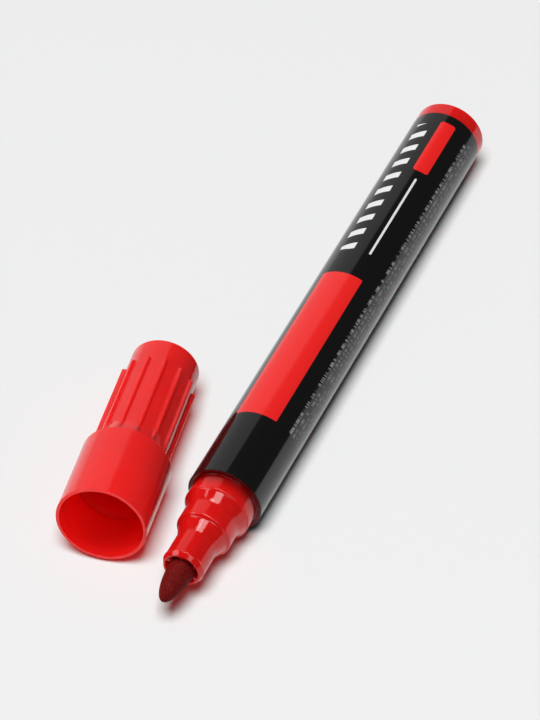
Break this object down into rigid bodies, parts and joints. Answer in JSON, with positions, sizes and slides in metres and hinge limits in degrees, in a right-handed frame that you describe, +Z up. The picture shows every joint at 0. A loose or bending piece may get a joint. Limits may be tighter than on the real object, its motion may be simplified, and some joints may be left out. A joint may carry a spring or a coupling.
{
  "type": "permanent marker",
  "caption": "Bullet-tip permanent marker lying on its barrel, with its ribbed push-on cap taken off and laid beside it.",
  "frame": {"origin": "centre of the base of the box round the marker and its cap, on the surface that they lie on", "axes": "+X along the barrel from the nib to the tail, +Z up"},
  "size_m": [0.1342, 0.0368, 0.0175],
  "materials": {
    "film": "glossy black printed film with red panels",
    "barrel": "black moulded tube",
    "nozzle": "glossy red moulding",
    "nib": "bonded fibre soaked with dark red ink",
    "fibre": "spun fibre rod soaked with red ink",
    "wrap": "thin clear skin",
    "plug": "glossy red moulding",
    "cap": "glossy red moulding",
    "liner": "smooth red moulding"
  },
  "bodies": {
    "marker": {"barrel_film": "film", "barrel": "barrel", "nozzle": "nozzle", "nib": "nib", "ink_reservoir": "fibre", "reservoir_wrap": "wrap", "tail_plug": "plug"},
    "cap": {"cap": "cap", "cap_liner": "liner"}
  },
  "joints": [
    {"name": "cap_slide", "type": "slide", "parent": "marker", "child": "cap", "axis": [0.9856, 0.1693, 0], "range_m": [0, 0.0353]}
  ]
}
